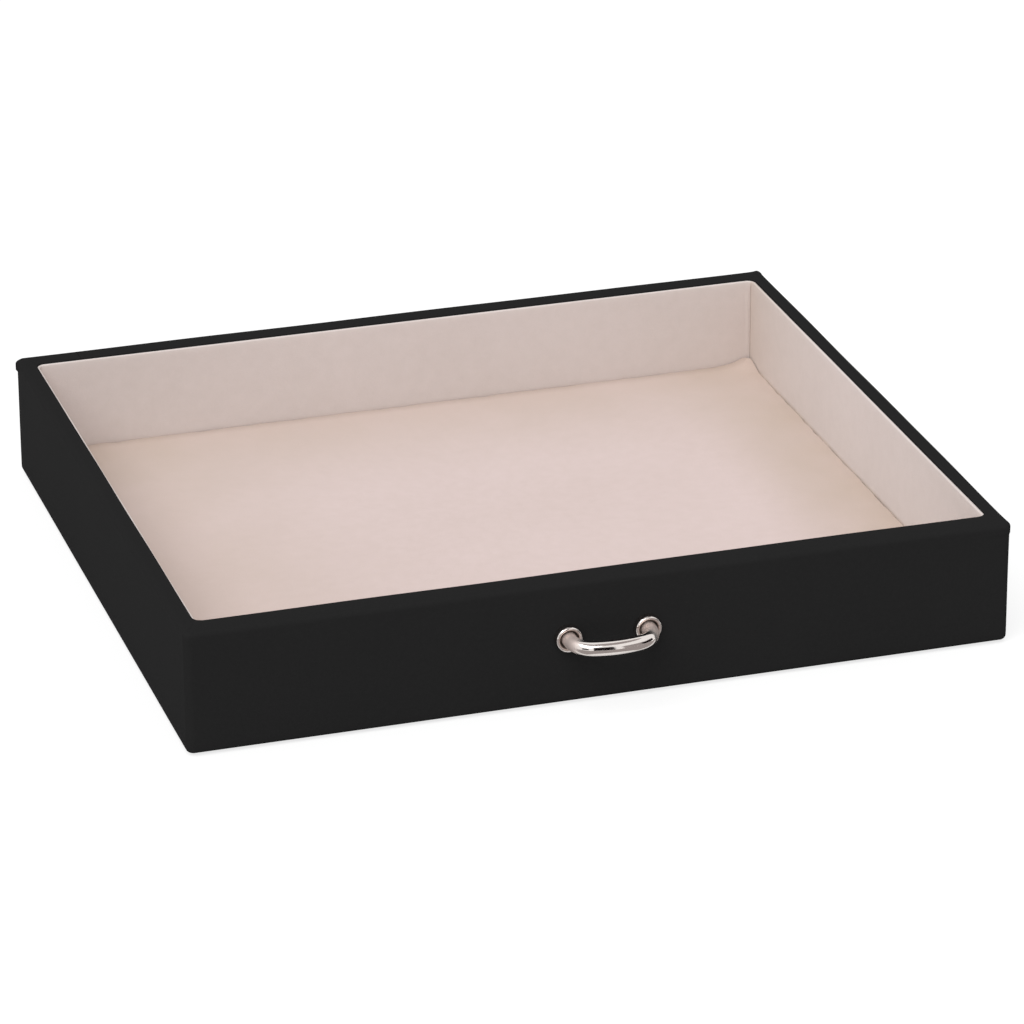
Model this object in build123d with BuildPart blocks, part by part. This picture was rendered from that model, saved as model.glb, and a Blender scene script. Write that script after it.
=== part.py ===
"""Jewellery-box drawer: a wrapped board tray with a velvet lining, a floor pad and a bow handle.

Millimetres. x runs across the drawer, the front faces -y and z is up from the table. The origin is
the centre of the underside.
"""

import os
from math import cos, radians, sin, sqrt

from build123d import *

os.makedirs("parts", exist_ok=True)

# Whole drawer
width = 260.0
depth = 225.0
height = 40.0

# Boards
side_thickness = 4.0
back_thickness = 6.0
front_thickness = 7.0
bottom_thickness = 3.0
front_rabbet = 3.5  # depth of the step in the front board that takes the side boards' ends
back_rabbet = 3.0
bottom_rebate = 2.0  # how far the bottom board reaches under the inner edge of the four boards

# Brads
brad_radius = 0.5
brad_hole_radius = 0.52
brad_tip = 0.3
corner_brad_length = 12.0
corner_brad_heights = (9.0, 20.0, 31.0)
corner_brad_inset = 1.5  # from the side board's inner face
bottom_brad_length = 10.0
side_brad_spacing = 75.0
end_brad_spacing = 60.0

# Leatherette wrap
leather = 0.6
turn_in = 12.0  # how far the leatherette comes down the inside
turn_under = 12.0  # how far it comes in under the bottom
corner_round = 2.5
opening_round = 3.0
rim_outer_round = 1.8
rim_inner_round = 0.5
foot_round = 1.5
seam_gap = 0.15
seam_from_corner = 20.0

# Felt under the bottom
felt_pressed = 0.5  # its thickness over the turned-under leatherette
felt_inset = 5.0
felt_round = 4.0
felt_gap = 1.0  # from the leatherette's cut edge to where the felt is thick

# Lining
card = 0.4
pile = 0.3
lining_below_rim = 0.7
lining_side_gap = 0.3

# Floor pad
pad_gap = 0.2
pad_card = 1.2
pad_velvet = 0.5
pad_edge_height = 5.1
pad_crown = 0.8
pad_edge_round = 1.2
pad_corner_round = 3.0
pad_turn_under = 12.0

# Handle
handle_height = 22.0
foot_spacing = 25.0
bar_radius = 2.3
grip_reach = 10.8  # from the front face to the bar's centreline at mid-span
bend_radius = 7.0
bow_angle = 15.0  # slope of the grip where it meets each bend, in degrees
rosette_radius = 4.4
rosette_edge = 0.5
rosette_height = 2.4
rosette_crown_radius = 3.0
rosette_bore_radius = 2.35

# Handle screws, M3 x 8 pan head, with plain washers
screw_radius = 1.47
screw_length = 8.0
screw_hole_radius = 1.6
foot_hole_radius = 1.5
foot_hole_depth = 4.5
head_radius = 2.75
head_height = 2.0
head_edge_round = 0.9
slot_width = 0.7
slot_length = 3.2
slot_depth = 1.1
washer_radius = 3.5
washer_hole_radius = 1.6
washer_thickness = 0.5
counterbore_radius = 3.8
counterbore_depth = 3.7

# Levels, from the table up
wrap_bottom = felt_pressed
board_bottom = wrap_bottom + leather
floor_level = board_bottom + bottom_thickness
board_top = height - leather
lining_top = height - lining_below_rim
card_top = lining_top - pile

# Outer faces of the boards
board_half_width = width / 2 - leather
board_half_depth = depth / 2 - leather

# Inner faces of the boards
board_side = board_half_width - side_thickness
board_front = -board_half_depth + front_thickness
board_back = board_half_depth - back_thickness

# The opening, between the inner faces of the turned-in leatherette
opening_side = board_side - leather
opening_front = board_front + leather
opening_back = board_back - leather
opening_middle = (opening_front + opening_back) / 2
opening_width = 2 * opening_side
opening_depth = opening_back - opening_front

# Inner faces of the lining
lining = card + pile
lining_side = opening_side - lining
lining_front = opening_front + lining
lining_back = opening_back - lining


def round_allowance(distance):
    """How far the opening's rounded corner reaches along one wall, at a distance out from it."""
    return opening_round - sqrt(opening_round**2 - (opening_round - distance) ** 2)


def opening_outline(grow=0.0, corner=0.0):
    """Draw the opening's outline into the current sketch, grown outwards."""
    with Locations((0, opening_middle)):
        if corner:
            RectangleRounded(opening_width + 2 * grow, opening_depth + 2 * grow, corner)
        else:
            Rectangle(opening_width + 2 * grow, opening_depth + 2 * grow)


def slab_outline(x_low, x_high, y_low, y_high):
    """Draw a rectangle between two x and two y values into the current sketch."""
    with Locations(((x_low + x_high) / 2, (y_low + y_high) / 2)):
        Rectangle(x_high - x_low, y_high - y_low)


def save(piece, name):
    """Label a finished piece and write it to its own file."""
    piece.part.label = name
    export_step(piece.part, f"parts/{name}.step")


# Where the brads start, each plane's z pointing the way its brad is driven
corner_brad_x = board_side + corner_brad_inset
corner_brad_planes = [
    Plane(origin=(side * corner_brad_x, end * board_half_depth, z), z_dir=(0, -end, 0))
    for side in (-1, 1)
    for end in (-1, 1)
    for z in corner_brad_heights
]
bottom_brad_x = board_side + bottom_rebate / 2
bottom_brad_front = board_front - bottom_rebate / 2
bottom_brad_back = board_back + bottom_rebate / 2
bottom_brad_places = [
    (side * bottom_brad_x, step * side_brad_spacing) for side in (-1, 1) for step in (-1, 0, 1)
]
bottom_brad_places += [
    (side * end_brad_spacing, y) for side in (-1, 1) for y in (bottom_brad_front, bottom_brad_back)
]
bottom_brad_planes = [Plane(origin=(x, y, board_bottom)) for x, y in bottom_brad_places]


def brads(planes, radius, length, mode=Mode.ADD):
    """Put a straight pin on each plane, or cut its hole."""
    with Locations(*planes):
        Cylinder(radius, length, align=(Align.CENTER, Align.CENTER, Align.MIN), mode=mode)


# Where the handle's feet stand on the front, and where its screws go in from behind
foot_places = [(side * foot_spacing / 2, -depth / 2, handle_height) for side in (-1, 1)]
foot_planes = [Plane(origin=place, z_dir=(0, 1, 0)) for place in foot_places]
counterbore_planes = [
    Plane(origin=(x, board_front, handle_height), z_dir=(0, 1, 0)) for x, y, z in foot_places
]

# The ring that the four boards fill inside the wrap, with the rebate for the bottom board
with BuildPart() as board_ring:
    with BuildSketch(Plane.XY.offset(board_bottom)):
        RectangleRounded(2 * board_half_width, 2 * board_half_depth, corner_round - leather)
    extrude(amount=board_top - board_bottom)
    fillet(board_ring.edges().group_by(Axis.Z)[-1], rim_outer_round - leather)
    fillet(board_ring.edges().group_by(Axis.Z)[0], foot_round - leather)
    with BuildSketch(Plane.XY.offset(board_bottom)):
        opening_outline(leather)
    extrude(amount=board_top - board_bottom, mode=Mode.SUBTRACT)
    with BuildSketch(Plane.XY.offset(board_bottom)):
        opening_outline(leather + bottom_rebate)
    extrude(amount=bottom_thickness, mode=Mode.SUBTRACT)

front_rabbet_face = -board_half_depth + front_rabbet
back_rabbet_face = board_half_depth - back_rabbet

# Front board: full width outside, the inner half of its thickness between the side boards
with BuildPart() as front_board:
    with BuildSketch(Plane.XY.offset(board_bottom)):
        slab_outline(-board_half_width, board_half_width, -board_half_depth, front_rabbet_face)
        slab_outline(-board_side, board_side, front_rabbet_face, board_front)
    extrude(amount=board_top - board_bottom)
    add(board_ring.part, mode=Mode.INTERSECT)
    brads(corner_brad_planes, brad_hole_radius, corner_brad_length, Mode.SUBTRACT)
    brads(bottom_brad_planes, brad_hole_radius, bottom_brad_length, Mode.SUBTRACT)
    with Locations(*counterbore_planes):
        CounterBoreHole(screw_hole_radius, counterbore_radius, counterbore_depth, front_thickness)
save(front_board, "front_board")

# Back board, rabbeted the same way
with BuildPart() as back_board:
    with BuildSketch(Plane.XY.offset(board_bottom)):
        slab_outline(-board_half_width, board_half_width, back_rabbet_face, board_half_depth)
        slab_outline(-board_side, board_side, board_back, back_rabbet_face)
    extrude(amount=board_top - board_bottom)
    add(board_ring.part, mode=Mode.INTERSECT)
    brads(corner_brad_planes, brad_hole_radius, corner_brad_length, Mode.SUBTRACT)
    brads(bottom_brad_planes, brad_hole_radius, bottom_brad_length, Mode.SUBTRACT)
save(back_board, "back_board")

# Side boards, from the front board's rabbet to the back board's
for name, side in (("left", -1), ("right", 1)):
    with BuildPart() as side_board:
        with BuildSketch(Plane.XY.offset(board_bottom)):
            x_low, x_high = sorted((side * board_side, side * board_half_width))
            slab_outline(x_low, x_high, front_rabbet_face, back_rabbet_face)
        extrude(amount=board_top - board_bottom)
        add(board_ring.part, mode=Mode.INTERSECT)
        brads(corner_brad_planes, brad_hole_radius, corner_brad_length, Mode.SUBTRACT)
        brads(bottom_brad_planes, brad_hole_radius, bottom_brad_length, Mode.SUBTRACT)
    save(side_board, f"{name}_board")

# Bottom board, let up into the rebate
with BuildPart() as bottom_board:
    with BuildSketch(Plane.XY.offset(board_bottom)):
        opening_outline(leather + bottom_rebate)
    extrude(amount=bottom_thickness)
    brads(bottom_brad_planes, brad_hole_radius, bottom_brad_length, Mode.SUBTRACT)
save(bottom_board, "bottom_board")

# Brads: twelve through the corner joints, ten up through the edge of the bottom board
with BuildPart() as corner_brads:
    brads(corner_brad_planes, brad_radius, corner_brad_length - brad_tip)
    for plane in corner_brad_planes:
        with Locations(plane.offset(corner_brad_length - brad_tip)):
            Cone(
                brad_radius,
                brad_radius / 4,
                brad_tip,
                align=(Align.CENTER, Align.CENTER, Align.MIN),
            )
save(corner_brads, "corner_brads")

with BuildPart() as bottom_brads:
    brads(bottom_brad_planes, brad_radius, bottom_brad_length - brad_tip)
    for plane in bottom_brad_planes:
        with Locations(plane.offset(bottom_brad_length - brad_tip)):
            Cone(
                brad_radius,
                brad_radius / 4,
                brad_tip,
                align=(Align.CENTER, Align.CENTER, Align.MIN),
            )
save(bottom_brads, "bottom_brads")

# Leatherette: outside, over the rim, down the inside and in under the bottom, with a butt seam behind
with BuildPart() as outer_wrap:
    with BuildSketch(Plane.XY.offset(wrap_bottom)):
        RectangleRounded(width, depth, corner_round)
    extrude(amount=height - wrap_bottom)
    fillet(outer_wrap.edges().group_by(Axis.Z)[-1], rim_outer_round)
    fillet(outer_wrap.edges().group_by(Axis.Z)[0], foot_round)
    with BuildSketch(Plane.XY.offset(height)):
        opening_outline(corner=opening_round)
    extrude(amount=-turn_in, mode=Mode.SUBTRACT)
    rim_edges = outer_wrap.faces().sort_by(Axis.Z)[-1].inner_wires()[0].edges()
    fillet(rim_edges, rim_inner_round)
    with BuildSketch(Plane.XY.offset(height - turn_in)):
        opening_outline(leather)
    extrude(amount=-(height - turn_in - board_bottom), mode=Mode.SUBTRACT)
    with BuildSketch(Plane.XY.offset(board_bottom)):
        opening_outline(leather + bottom_rebate)
    extrude(amount=bottom_thickness, mode=Mode.SUBTRACT)
    with BuildSketch(Plane.XY.offset(wrap_bottom)):
        Rectangle(width - 2 * turn_under, depth - 2 * turn_under)
    extrude(amount=leather, mode=Mode.SUBTRACT)
    add(board_ring.part, mode=Mode.SUBTRACT)
    with BuildSketch(Plane.XY):
        seam_x = seam_from_corner - width / 2
        slab_outline(seam_x, seam_x + seam_gap, depth / 2 - 2 * turn_under, depth)
    extrude(amount=height, mode=Mode.SUBTRACT)
    with Locations(*foot_planes):
        Cylinder(screw_hole_radius, 3 * leather, mode=Mode.SUBTRACT)
save(outer_wrap, "outer_wrap")

# Felt under the bottom, flat on the table and pressed thinner over the turned-under leatherette
with BuildPart() as underside_felt:
    with BuildSketch():
        RectangleRounded(width - 2 * felt_inset, depth - 2 * felt_inset, felt_round)
    extrude(amount=felt_pressed)
    with BuildSketch():
        Rectangle(width - 2 * turn_under - 2 * felt_gap, depth - 2 * turn_under - 2 * felt_gap)
    extrude(amount=board_bottom)
save(underside_felt, "underside_felt")

# Lining of the front and back: a card with velvet over its face and its top edge
card_half_width = opening_side - opening_round
pile_half_width = opening_side - round_allowance(card) - lining_side_gap / 2
for name, wall, inward in (("front", opening_front, 1), ("back", opening_back, -1)):
    behind = sorted((wall, wall + inward * card))
    face = sorted((wall + inward * card, wall + inward * lining))
    over = sorted((wall, wall + inward * lining))
    with BuildPart() as lining_card:
        with BuildSketch(Plane.XY.offset(floor_level)):
            slab_outline(-card_half_width, card_half_width, *behind)
        extrude(amount=card_top - floor_level)
    save(lining_card, f"{name}_lining_card")
    with BuildPart() as lining_velvet:
        with BuildSketch(Plane.XY.offset(floor_level)):
            slab_outline(-pile_half_width, pile_half_width, *face)
        extrude(amount=lining_top - floor_level)
        with BuildSketch(Plane.XY.offset(card_top)):
            slab_outline(-card_half_width, card_half_width, *over)
        extrude(amount=pile)
    save(lining_velvet, f"{name}_lining_velvet")

# Lining of the two sides, stopped short of the front and back lining
card_ends = (opening_front + opening_round, opening_back - opening_round)
pile_end = round_allowance(card) + lining_side_gap / 2
pile_ends = (opening_front + pile_end, opening_back - pile_end)
for name, side in (("left", -1), ("right", 1)):
    behind = sorted((side * opening_side, side * (opening_side - card)))
    face = sorted((side * (opening_side - card), side * lining_side))
    over = sorted((side * opening_side, side * lining_side))
    with BuildPart() as lining_card:
        with BuildSketch(Plane.XY.offset(floor_level)):
            slab_outline(*behind, *card_ends)
        extrude(amount=card_top - floor_level)
    save(lining_card, f"{name}_lining_card")
    with BuildPart() as lining_velvet:
        with BuildSketch(Plane.XY.offset(floor_level)):
            slab_outline(*face, *pile_ends)
        extrude(amount=lining_top - floor_level)
        with BuildSketch(Plane.XY.offset(card_top)):
            slab_outline(*over, *card_ends)
        extrude(amount=pile)
    save(lining_velvet, f"{name}_lining_velvet")

# Floor pad: its outer form under a crown, and the same form drawn in by the velvet's thickness
pad_width = 2 * (lining_side - pad_gap)
pad_depth = lining_back - lining_front - 2 * pad_gap
pad_middle = (lining_front + lining_back) / 2
pad_card_bottom = floor_level + pad_velvet
pad_card_top = pad_card_bottom + pad_card
pad_top = floor_level + pad_edge_height + pad_crown
corner_reach = sqrt(pad_width**2 + pad_depth**2) / 2
crown_radius = (corner_reach**2 + pad_crown**2) / (2 * pad_crown)

with BuildPart() as pad_form:
    with BuildSketch(Plane((0, pad_middle, floor_level))):
        RectangleRounded(pad_width, pad_depth, pad_corner_round)
    extrude(amount=2 * pad_edge_height)
    with Locations((0, pad_middle, pad_top - crown_radius)):
        Sphere(crown_radius, rotation=(90, 0, 0), mode=Mode.INTERSECT)
    fillet(pad_form.faces().sort_by(Axis.Z)[-1].edges(), pad_edge_round)

with BuildPart() as pad_filling:
    with BuildSketch(Plane((0, pad_middle, pad_card_bottom))):
        filling_round = pad_corner_round - pad_velvet
        RectangleRounded(pad_width - 2 * pad_velvet, pad_depth - 2 * pad_velvet, filling_round)
    extrude(amount=2 * pad_edge_height)
    with Locations((0, pad_middle, pad_top - pad_velvet - crown_radius)):
        Sphere(crown_radius, rotation=(90, 0, 0), mode=Mode.INTERSECT)
    fillet(pad_filling.faces().sort_by(Axis.Z)[-1].edges(), pad_edge_round - pad_velvet)

with BuildPart() as floor_card:
    add(pad_filling.part)
    split(bisect_by=Plane.XY.offset(pad_card_top), keep=Keep.BOTTOM)
save(floor_card, "floor_card")

with BuildPart() as floor_foam:
    add(pad_filling.part)
    split(bisect_by=Plane.XY.offset(pad_card_top), keep=Keep.TOP)
save(floor_foam, "floor_foam")

with BuildPart() as floor_velvet:
    add(pad_form.part)
    add(pad_filling.part, mode=Mode.SUBTRACT)
    with BuildSketch(Plane((0, pad_middle, floor_level))):
        Rectangle(pad_width - 2 * pad_turn_under, pad_depth - 2 * pad_turn_under)
    extrude(amount=pad_velvet, mode=Mode.SUBTRACT)
save(floor_velvet, "floor_velvet")

# Handle bow: two straight feet, a tight bend over each and a gently bowed grip between
half_foot = foot_spacing / 2
slope = radians(bow_angle)
grip_radius = (half_foot - bend_radius * (1 - sin(slope))) / sin(slope)
leg_run = grip_reach - bend_radius * cos(slope) - grip_radius * (1 - cos(slope))
grip_plane = Plane(origin=(0, -depth / 2, handle_height), x_dir=(1, 0, 0), z_dir=(0, 0, -1))
with BuildPart() as handle_bow:
    with BuildLine(grip_plane) as bow_path:
        foot_in = Line((-half_foot, 0), (-half_foot, leg_run))
        bend_in = JernArc(foot_in @ 1, foot_in % 1, bend_radius, bow_angle - 90)
        grip = JernArc(bend_in @ 1, bend_in % 1, grip_radius, -2 * bow_angle)
        bend_out = JernArc(grip @ 1, grip % 1, bend_radius, bow_angle - 90)
        foot_out = Line(bend_out @ 1, (half_foot, 0))
    with BuildSketch(Plane(origin=bow_path.line @ 0, z_dir=bow_path.line % 0)):
        Circle(bar_radius)
    sweep()
    with Locations(*foot_planes):
        Hole(foot_hole_radius, foot_hole_depth)
save(handle_bow, "handle_bow")

# Rosettes, screws and washers, one of each at either foot
for name, place in zip(("left", "right"), foot_places):
    foot_x, foot_y, foot_z = place
    section_plane = Plane(origin=place, x_dir=(1, 0, 0), z_dir=(0, 0, -1))
    foot_axis = Axis(place, (0, 1, 0))

    with BuildPart() as rosette:
        with BuildSketch(section_plane):
            with BuildLine():
                Line((rosette_bore_radius, 0), (rosette_radius, 0))
                Line((rosette_radius, 0), (rosette_radius, rosette_edge))
                RadiusArc(
                    (rosette_radius, rosette_edge),
                    (rosette_bore_radius, rosette_height),
                    -rosette_crown_radius,
                )
                Line((rosette_bore_radius, rosette_height), (rosette_bore_radius, 0))
            make_face()
        revolve(axis=foot_axis)
    save(rosette, f"{name}_rosette")

    washer_face = board_front - counterbore_depth
    head_face = washer_face + washer_thickness
    with BuildPart() as washer:
        with BuildSketch(Plane(origin=(foot_x, washer_face, foot_z), z_dir=(0, 1, 0))):
            Circle(washer_radius)
            Circle(washer_hole_radius, mode=Mode.SUBTRACT)
        extrude(amount=washer_thickness)
    save(washer, f"{name}_handle_washer")

    with BuildPart() as screw:
        with BuildSketch(Plane(origin=(foot_x, head_face, foot_z), z_dir=(0, 1, 0))):
            Circle(head_radius)
        extrude(amount=head_height)
        fillet(screw.edges().sort_by(Axis.Y)[-1], head_edge_round)
        with BuildSketch(Plane(origin=(foot_x, head_face + head_height, foot_z), z_dir=(0, 1, 0))):
            Rectangle(slot_width, slot_length)
            Rectangle(slot_length, slot_width)
        extrude(amount=-slot_depth, mode=Mode.SUBTRACT)
        with BuildSketch(Plane(origin=(foot_x, head_face, foot_z), z_dir=(0, -1, 0))):
            Circle(screw_radius)
        extrude(amount=screw_length)
        chamfer(screw.edges().sort_by(Axis.Y)[0], screw_radius / 4)
    save(screw, f"{name}_handle_screw")
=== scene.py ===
from math import cos, exp, pi, radians, sin

import bmesh
import bpy
import numpy as np
from mathutils import Matrix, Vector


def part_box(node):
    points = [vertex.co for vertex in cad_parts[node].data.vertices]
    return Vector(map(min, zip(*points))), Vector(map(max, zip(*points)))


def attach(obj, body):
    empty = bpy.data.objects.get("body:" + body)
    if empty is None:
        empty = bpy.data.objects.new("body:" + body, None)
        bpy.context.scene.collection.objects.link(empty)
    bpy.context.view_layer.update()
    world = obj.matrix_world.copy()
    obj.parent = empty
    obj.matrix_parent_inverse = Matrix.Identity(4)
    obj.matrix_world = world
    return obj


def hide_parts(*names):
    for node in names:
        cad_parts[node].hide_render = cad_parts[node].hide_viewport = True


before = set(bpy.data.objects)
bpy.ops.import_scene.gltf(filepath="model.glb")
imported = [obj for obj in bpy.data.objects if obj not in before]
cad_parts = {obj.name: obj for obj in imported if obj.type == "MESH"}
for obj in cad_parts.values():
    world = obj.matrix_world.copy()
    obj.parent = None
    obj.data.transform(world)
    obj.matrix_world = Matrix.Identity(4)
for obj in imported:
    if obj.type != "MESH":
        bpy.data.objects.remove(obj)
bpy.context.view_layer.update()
scene = bpy.context.scene
scene.view_settings.view_transform = "Standard"

# The camera stands to the left of the drawer and looks down on it from the front, with a long lens
# that keeps the sides of the drawer nearly parallel.
camera_place = (-0.45036, -1.4513, 0.68501)
camera_azimuth = radians(-17.438)
camera_elevation = radians(23.826)
camera_roll = radians(-0.186)
camera = bpy.data.objects.new("camera", bpy.data.cameras.new("camera"))
camera.data.lens = 183.28
camera.data.clip_start = 0.01
turned = Matrix.Rotation(camera_azimuth, 4, "Z")
tipped = Matrix.Rotation(pi / 2 - camera_elevation, 4, "X")
rolled = Matrix.Rotation(camera_roll, 4, "Z")
camera.matrix_world = Matrix.Translation(camera_place) @ turned @ tipped @ rolled
scene.collection.objects.link(camera)
scene.camera = camera

# The studio: a plain white floor and white surroundings, a soft key light from the upper left and even
# light from all round. The camera and the metal see the surroundings white. Dark and grey cards stand
# out of sight round the front, for the polished metal to reflect, and neither light nor shade anything.
floor_half = 20.0
floor_drop = 0.0003
floor_tone = 0.8
floor_seen_tone = 0.3
floor_seen_glow = 0.76
floor_shine_glow = 0.2
surround_light = 0.62
key_strength = 1.7
key_spread = radians(50)
key_azimuth = radians(-46)
key_elevation = radians(56)
card_middle = (0.0, -0.125)
card_columns = 25
dark = (0.008, 0.006, 0.006)
dim = (0.36, 0.33, 0.325)
# Bearings are degrees to the right of straight ahead of the front. Each card has a distance from
# card_middle and a height for one long edge, and then for the other.
reflected_cards = (
    dict(tone=dark, bearings=(-20, 10), distance=(0.16, 0.16), height=(0.002, 0.14)),
    dict(tone=dark, bearings=(44, 84), distance=(0.15, 0.15), height=(0.02, 0.08)),
    dict(tone=dark, bearings=(-62, -38), distance=(0.16, 0.16), height=(0.02, 0.07)),
    dict(tone=dim, bearings=(20, 75), distance=(0.16, 0.16), height=(0.0, 0.10)),
    dict(tone=dim, bearings=(-95, 95), distance=(0.015, 0.15), height=(0.0005, 0.0005)),
    dict(tone=dim, bearings=(-120, 120), distance=(0.30, 0.02), height=(0.55, 0.75)),
)


class Wire:
    """The output of one node of a material. Arithmetic on wires adds Math nodes after them."""

    def __init__(self, socket):
        self.socket = socket

    def node(self, kind, settings, inputs, output=0):
        """Add any other node beside this one: its settings first, then its sockets' values or links."""
        tree = self.socket.id_data
        added = tree.nodes.new(kind)
        for name, value in settings.items():
            setattr(added, name, value)
        for name, value in inputs.items():
            if isinstance(value, Wire):
                tree.links.new(value.socket, added.inputs[name])
            else:
                added.inputs[name].default_value = value
        return Wire(added.outputs[output])

    def math(self, operation, first, second=0.0):
        return self.node("ShaderNodeMath", {"operation": operation}, {0: first, 1: second})

    def __add__(self, other):
        return self.math("ADD", self, other)

    def __sub__(self, other):
        return self.math("SUBTRACT", self, other)

    def __rsub__(self, other):
        return self.math("SUBTRACT", other, self)

    def __mul__(self, other):
        return self.math("MULTIPLY", self, other)

    __radd__ = __add__
    __rmul__ = __mul__

    def between(self, low, high):
        """0 below low, 1 above high and an even slope between."""
        limits = {"From Min": low, "From Max": high}
        return self.node("ShaderNodeMapRange", {"clamp": True}, {"Value": self, **limits})

    def mix(self, first, second):
        """The colour that this wire picks between two: the first at 0, the second at 1."""
        first, second = (c if isinstance(c, Wire) else (*c, 1.0) for c in (first, second))
        return self.node("ShaderNodeMix", {"data_type": "RGBA"}, {"Factor": self, 6: first, 7: second}, 2)


def light_paths(tree):
    """Wires of 1 for rays from the camera, and for rays that a glossy or clear surface sends on."""
    paths = tree.nodes.new("ShaderNodeLightPath").outputs
    shine = Wire(paths["Is Glossy Ray"]) + Wire(paths["Is Transmission Ray"])
    return Wire(paths["Is Camera Ray"]), shine.between(0.0, 1.0)


floor_mesh = bpy.data.meshes.new("floor")
floor_corners = [
    (x * floor_half, y * floor_half, -floor_drop) for x, y in ((-1, -1), (1, -1), (1, 1), (-1, 1))
]
floor_mesh.from_pydata(floor_corners, [], [(0, 1, 2, 3)])
floor = bpy.data.objects.new("floor", floor_mesh)
scene.collection.objects.link(floor)

floor_finish = bpy.data.materials.new("white_floor")
floor_finish.use_nodes = True
tree = floor_finish.node_tree
tree.nodes.clear()
looked_at, mirrored = light_paths(tree)
tone = looked_at.mix((floor_tone,) * 3, (floor_seen_tone,) * 3)
strength = looked_at * floor_seen_glow + mirrored * floor_shine_glow
glow = tone.node("ShaderNodeEmission", {}, {"Color": (1, 1, 1, 1), "Strength": strength})
matt = tone.node("ShaderNodeBsdfDiffuse", {}, {"Color": tone})
lit = tone.node("ShaderNodeAddShader", {}, {0: glow, 1: matt})
clear = tone.node("ShaderNodeBsdfTransparent", {}, {})
from_below = tone.node("ShaderNodeNewGeometry", {}, {}, "Backfacing")
shown = tone.node("ShaderNodeMixShader", {}, {0: from_below, 1: lit, 2: clear})
tree.links.new(shown.socket, tree.nodes.new("ShaderNodeOutputMaterial").inputs["Surface"])
floor_mesh.materials.append(floor_finish)

world = bpy.data.worlds.new("surroundings")
world.use_nodes = True
scene.world = world
tree = world.node_tree
tree.nodes.clear()
looked_at, mirrored = light_paths(tree)
strength = (looked_at + mirrored) * (1.0 - surround_light) + surround_light
air = strength.node("ShaderNodeBackground", {}, {"Color": (1, 1, 1, 1), "Strength": strength})
tree.links.new(air.socket, tree.nodes.new("ShaderNodeOutputWorld").inputs["Surface"])

key = bpy.data.objects.new("key_light", bpy.data.lights.new("key_light", "SUN"))
key.data.energy = key_strength
key.data.angle = key_spread
key.rotation_euler = (pi / 2 - key_elevation, 0, key_azimuth)
scene.collection.objects.link(key)

for number, card in enumerate(reflected_cards):
    paint = bpy.data.materials.new(f"card_{number}")
    paint.use_nodes = True
    tree = paint.node_tree
    tree.nodes.clear()
    emission = tree.nodes.new("ShaderNodeEmission")
    emission.inputs["Color"].default_value = (*card["tone"], 1.0)
    tree.links.new(emission.outputs[0], tree.nodes.new("ShaderNodeOutputMaterial").inputs["Surface"])
    bearings = np.radians(np.linspace(*card["bearings"], card_columns))
    rows = [
        np.column_stack([
            card_middle[0] + away * np.sin(bearings),
            card_middle[1] - away * np.cos(bearings),
            np.full(card_columns, z),
        ])
        for away, z in zip(card["distance"], card["height"])
    ]
    quads = [(n, n + 1, n + 1 + card_columns, n + card_columns) for n in range(card_columns - 1)]
    mesh = bpy.data.meshes.new(f"card_{number}")
    mesh.from_pydata(np.concatenate(rows).tolist(), [], quads)
    mesh.materials.append(paint)
    screen = bpy.data.objects.new(f"card_{number}", mesh)
    screen.visible_camera = False
    screen.visible_diffuse = False
    screen.visible_shadow = False
    scene.collection.objects.link(screen)

# The five boards are thin fibreboard, cut to size, glued and nailed. They are hidden by the covering
# and the lining. Their faces show pressed wood fibres in two tones.
fibre = dict(pale=(0.47, 0.34, 0.21), dark=(0.30, 0.20, 0.115), hair=0.0009, cloud=0.018)


def new_finish(name, **constants):
    """A material with one Principled shader, whose unvarying inputs are set on its own sockets."""
    finish = bpy.data.materials.new(name)
    finish.use_nodes = True
    shader = finish.node_tree.nodes["Principled BSDF"]
    for socket, value in constants.items():
        shader.inputs[socket.replace("_", " ")].default_value = value
    place = finish.node_tree.nodes.new("ShaderNodeTexCoord").outputs["Object"]
    return finish, shader, Wire(place)


def feed(shader, **wires):
    """Link wires to a shader's sockets."""
    for socket, wire in wires.items():
        shader.id_data.links.new(wire.socket, shader.inputs[socket.replace("_", " ")])


def noise(place, size, detail=3.0, roughness=0.5):
    """Cloudy noise with features about size metres across."""
    inputs = {"Vector": place, "Scale": 1 / size, "Detail": detail, "Roughness": roughness}
    return place.node("ShaderNodeTexNoise", {}, inputs)


def stretch(place, x, y, z):
    """The same place with each axis multiplied, which draws a pattern out along the axes under 1."""
    return place.node("ShaderNodeMapping", {}, {"Vector": place, "Scale": (x, y, z)})


def bump(height, depth):
    """A normal from a height of 0 to 1 that stands for depth metres."""
    return height.node("ShaderNodeBump", {}, {"Height": height, "Distance": depth, "Strength": 1.0})


def dress(names, finish):
    """Give CAD nodes a finish."""
    for name in names:
        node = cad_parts[name]
        node.data.materials.clear()
        node.data.materials.append(finish)


fibreboard, shader, place = new_finish("fibreboard", Roughness=0.82)
hairs = noise(stretch(place, 0.35, 1.0, 1.6), fibre["hair"], 4.0, 0.6)
clouds = noise(place, fibre["cloud"])
feed(
    shader,
    Base_Color=(hairs * 0.7 + clouds * 0.3).between(0.3, 0.7).mix(fibre["dark"], fibre["pale"]),
    Roughness=hairs.between(0.2, 0.8) * 0.14 + 0.74,
    Normal=bump(hairs, 0.00006),
)
dress(["front_board", "back_board", "left_board", "right_board", "bottom_board"], fibreboard)

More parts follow.
